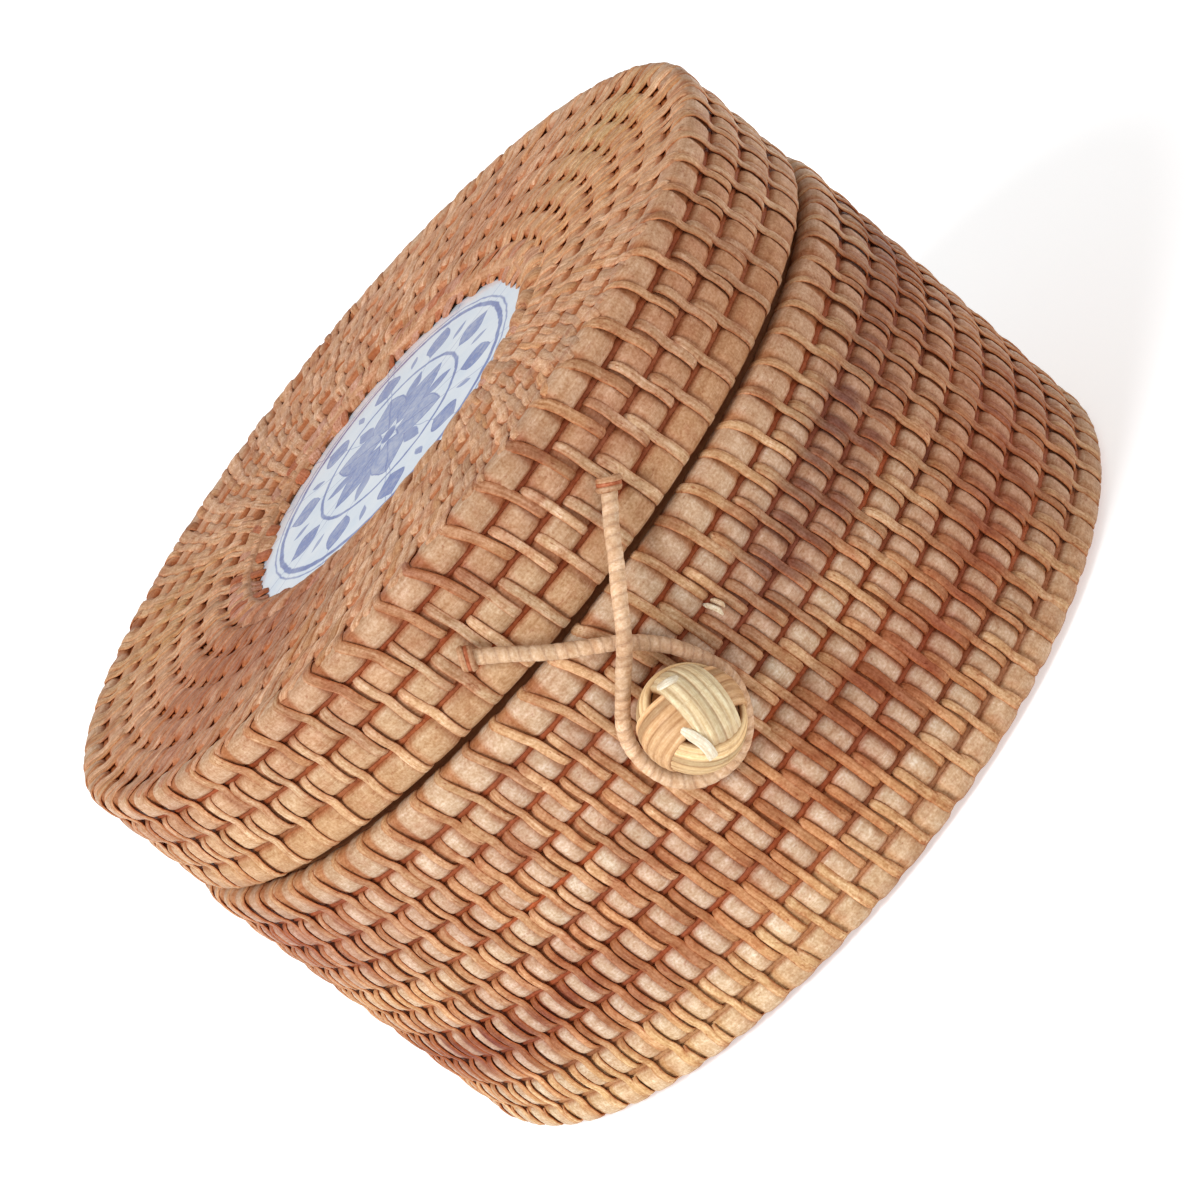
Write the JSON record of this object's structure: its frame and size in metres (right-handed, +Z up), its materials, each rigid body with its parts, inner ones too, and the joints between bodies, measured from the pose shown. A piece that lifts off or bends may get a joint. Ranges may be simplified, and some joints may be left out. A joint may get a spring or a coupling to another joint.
{
  "type": "tea canister",
  "caption": "Round coiled-cane tea canister with a hinged lid, a porcelain disc set in its top, and a cord loop that hooks over a knotted ball.",
  "frame": {"origin": "middle of the flat underside, on the canister's axis", "axes": "+Z up along the canister's axis; the loop and ball are at the front, -Y; the hinge is at the back, +Y"},
  "size_m": [0.1612, 0.1813, 0.0956],
  "materials": {
    "coil_cane": "satin",
    "binding_cane": "satin",
    "cord_cane": "satin",
    "knot_straw": "satin",
    "bamboo_strip": "satin",
    "porcelain": "gloss"
  },
  "bodies": {
    "canister": {"wall_coil_01": "coil_cane", "wall_coil_02": "coil_cane", "wall_coil_03": "coil_cane", "wall_coil_04": "coil_cane", "wall_coil_05": "coil_cane", "wall_coil_06": "coil_cane", "wall_coil_07": "coil_cane", "wall_coil_08": "coil_cane", "wall_coil_09": "coil_cane", "wall_coil_10": "coil_cane", "base_coil_01": "coil_cane", "base_coil_02": "coil_cane", "base_coil_03": "coil_cane", "base_coil_04": "coil_cane", "base_coil_05": "coil_cane", "base_coil_06": "coil_cane", "base_coil_07": "coil_cane", "base_coil_08": "coil_cane", "base_coil_09": "coil_cane", "base_coil_10": "coil_cane", "base_centre": "coil_cane", "inner_collar": "bamboo_strip", "knot_ball": "knot_straw", "knot_stem": "binding_cane"},
    "lid": {"lid_coil_01": "coil_cane", "lid_coil_02": "coil_cane", "lid_coil_03": "coil_cane", "lid_coil_04": "coil_cane", "lid_top_coil_01": "coil_cane", "lid_top_coil_02": "coil_cane", "lid_top_coil_03": "coil_cane", "lid_top_coil_04": "coil_cane", "lid_top_coil_05": "coil_cane", "lid_top_coil_06": "coil_cane", "porcelain_disc": "porcelain", "porcelain_binding": "binding_cane", "porcelain_seat": "coil_cane", "hinge_tie_left": "binding_cane", "hinge_tie_right": "binding_cane", "loop_lashing_left": "binding_cane", "loop_lashing_right": "binding_cane"},
    "closure_loop": {"closure_loop": "cord_cane"}
  },
  "joints": [
    {"name": "lid_hinge", "type": "hinge", "parent": "canister", "child": "lid", "pos_m": [0, 0.081, 0.0692], "axis": [-1, 0, 0], "range_deg": [0, 110], "deforming": ["hinge_tie_left", "hinge_tie_right", "closure_loop"]},
    {"name": "loop_swing", "type": "hinge", "parent": "lid", "child": "closure_loop", "pos_m": [-0.00196, -0.08, 0.0798], "axis": [-0.9997, 0.0244, 0], "range_deg": [0, 150]}
  ]
}
